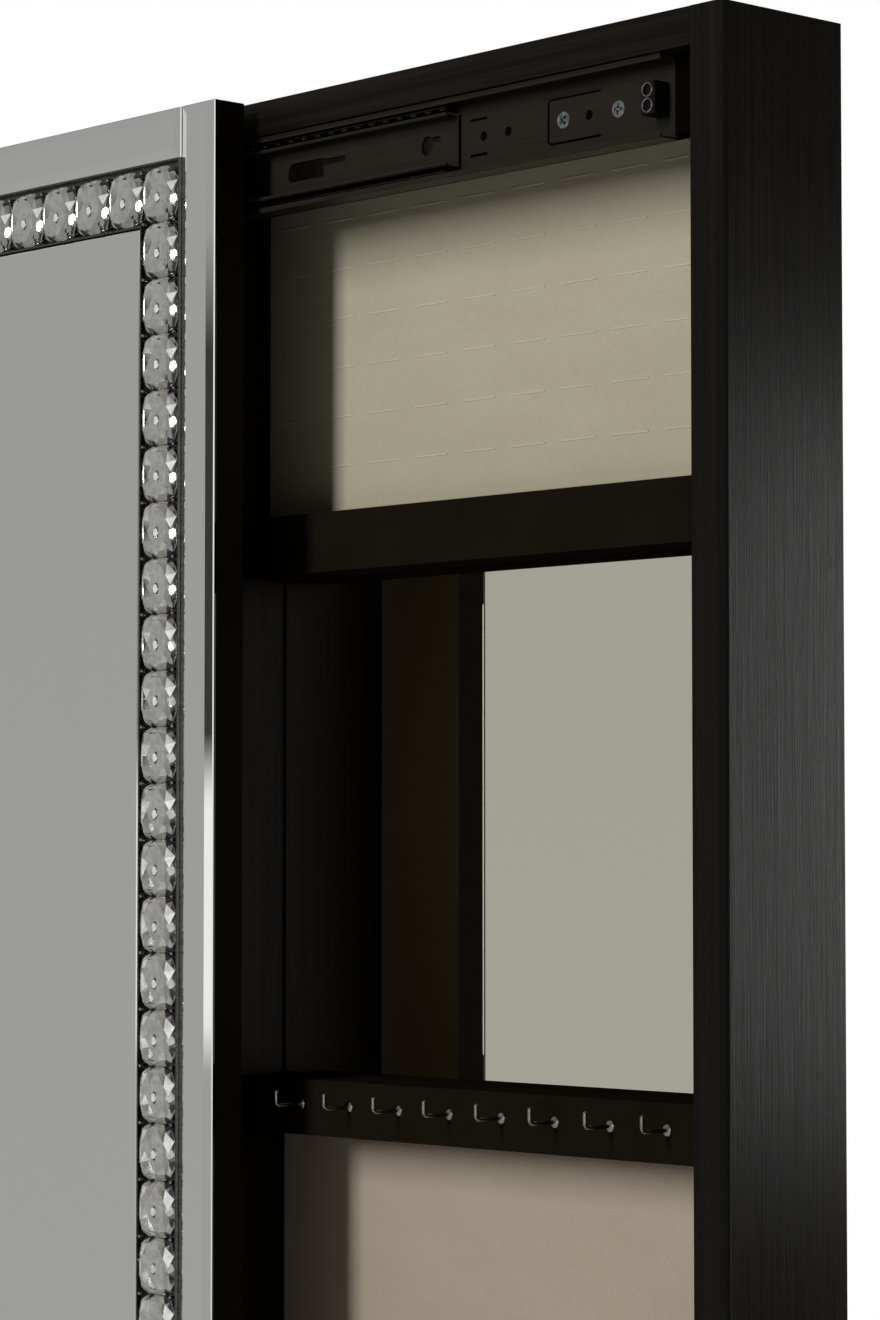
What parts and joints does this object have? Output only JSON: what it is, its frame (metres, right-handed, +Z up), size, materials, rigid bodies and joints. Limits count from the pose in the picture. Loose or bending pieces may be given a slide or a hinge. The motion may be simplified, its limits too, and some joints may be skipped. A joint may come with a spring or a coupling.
{
  "type": "jewelry mirror cabinet",
  "caption": "Shallow wall-hung jewelry cabinet; its full-length mirror door, bordered with cut crystals, slides sideways on ball-bearing slides to open hooks, mirror and lined bays.",
  "frame": {"origin": "on the back face, midway between the round openings of the two hanger plates", "axes": "+X to the right seen from the front, +Y back to the wall, +Z up; the door is at rest in its open place, to the left"},
  "size_m": [0.8425, 0.1304, 1.2349],
  "materials": {
    "black_ash_veneer": "black-brown stained open-grain veneer, satin",
    "black_board": "black laminated board, satin",
    "raw_pine": "planed softwood, unfinished",
    "back_hardboard": "black-faced hardboard",
    "silvered_mirror": "silvered float glass, ground and polished edges",
    "cut_crystal": "cushion-cut clear crystal with a foiled back",
    "chrome_channel": "folded bright metal channel",
    "black_slide_steel": "black electrophoretic coat",
    "bearing_steel": "polished balls",
    "zinc_screw": "bright zinc plate",
    "nickel_hook": "nickel plate",
    "black_rubber": "moulded black rubber",
    "cream_fabric": "cream woven faux suede",
    "beige_fabric": "beige woven faux suede"
  },
  "bodies": {
    "cabinet": {"side_left": "black_ash_veneer", "side_right": "black_ash_veneer", "top_panel": "black_ash_veneer", "bottom_panel": "black_ash_veneer", "upper_rail": "black_board", "hook_rail": "black_board", "upper_shelf": "black_board", "lower_shelf": "black_board", "floor_board": "black_board", "shelf_ledges": "black_board", "upper_slide_board": "black_board", "lower_slide_board": "black_board", "back_panel": "back_hardboard", "hanging_rail": "raw_pine", "spacer_rail": "raw_pine", "earring_battens": "raw_pine", "vanity_mirror": "silvered_mirror", "upper_cabinet_member": "black_slide_steel", "lower_cabinet_member": "black_slide_steel", "slide_screws": "zinc_screw", "hanger_screws": "zinc_screw", "hanger_plates": "zinc_screw", "necklace_hooks": "nickel_hook", "slide_stops": "black_rubber", "earring_panel": "cream_fabric", "necklace_panel": "beige_fabric", "shelf_linings": "beige_fabric"},
    "door": {"door_stile_left": "black_board", "door_stile_right": "black_board", "door_rail_top": "black_board", "door_rail_bottom": "black_board", "upper_door_batten": "black_board", "lower_door_batten": "black_board", "door_panel": "back_hardboard", "centre_mirror": "silvered_mirror", "mirror_strip_left": "silvered_mirror", "mirror_strip_right": "silvered_mirror", "mirror_strip_top": "silvered_mirror", "mirror_strip_bottom": "silvered_mirror", "crystals_top": "cut_crystal", "crystals_bottom": "cut_crystal", "crystals_left": "cut_crystal", "crystals_right": "cut_crystal", "crystal_channel": "chrome_channel", "upper_door_member": "black_slide_steel", "lower_door_member": "black_slide_steel", "door_member_screws": "zinc_screw"},
    "upper_middle": {"upper_middle_member": "black_slide_steel"},
    "upper_outer_bearing": {"upper_outer_cage": "black_slide_steel", "upper_outer_balls": "bearing_steel"},
    "upper_inner_bearing": {"upper_inner_cage": "black_slide_steel", "upper_inner_balls": "bearing_steel"},
    "lower_middle": {"lower_middle_member": "black_slide_steel"},
    "lower_outer_bearing": {"lower_outer_cage": "black_slide_steel", "lower_outer_balls": "bearing_steel"},
    "lower_inner_bearing": {"lower_inner_cage": "black_slide_steel", "lower_inner_balls": "bearing_steel"}
  },
  "joints": [
    {"name": "door_slide", "type": "slide", "parent": "cabinet", "child": "door", "axis": [1, 0, 0], "range_m": [0, 0.3775]},
    {"name": "upper_middle_slide", "type": "slide", "parent": "cabinet", "child": "upper_middle", "axis": [1, 0, 0], "range_m": [0, 0.1525]},
    {"name": "upper_outer_bearing_slide", "type": "slide", "parent": "cabinet", "child": "upper_outer_bearing", "axis": [1, 0, 0], "range_m": [0, 0.0765]},
    {"name": "upper_inner_bearing_slide", "type": "slide", "parent": "cabinet", "child": "upper_inner_bearing", "axis": [1, 0, 0], "range_m": [0, 0.2652]},
    {"name": "lower_middle_slide", "type": "slide", "parent": "cabinet", "child": "lower_middle", "axis": [1, 0, 0], "range_m": [0, 0.1525]},
    {"name": "lower_outer_bearing_slide", "type": "slide", "parent": "cabinet", "child": "lower_outer_bearing", "axis": [1, 0, 0], "range_m": [0, 0.0765]},
    {"name": "lower_inner_bearing_slide", "type": "slide", "parent": "cabinet", "child": "lower_inner_bearing", "axis": [1, 0, 0], "range_m": [0, 0.2652]}
  ],
  "couplings": [
    {"joint": "upper_middle_slide", "follows": "door_slide", "ratio": 0.40265},
    {"joint": "upper_outer_bearing_slide", "follows": "door_slide", "ratio": 0.20133},
    {"joint": "upper_inner_bearing_slide", "follows": "door_slide", "ratio": 0.70132},
    {"joint": "lower_middle_slide", "follows": "door_slide", "ratio": 0.40265},
    {"joint": "lower_outer_bearing_slide", "follows": "door_slide", "ratio": 0.20133},
    {"joint": "lower_inner_bearing_slide", "follows": "door_slide", "ratio": 0.70132}
  ]
}
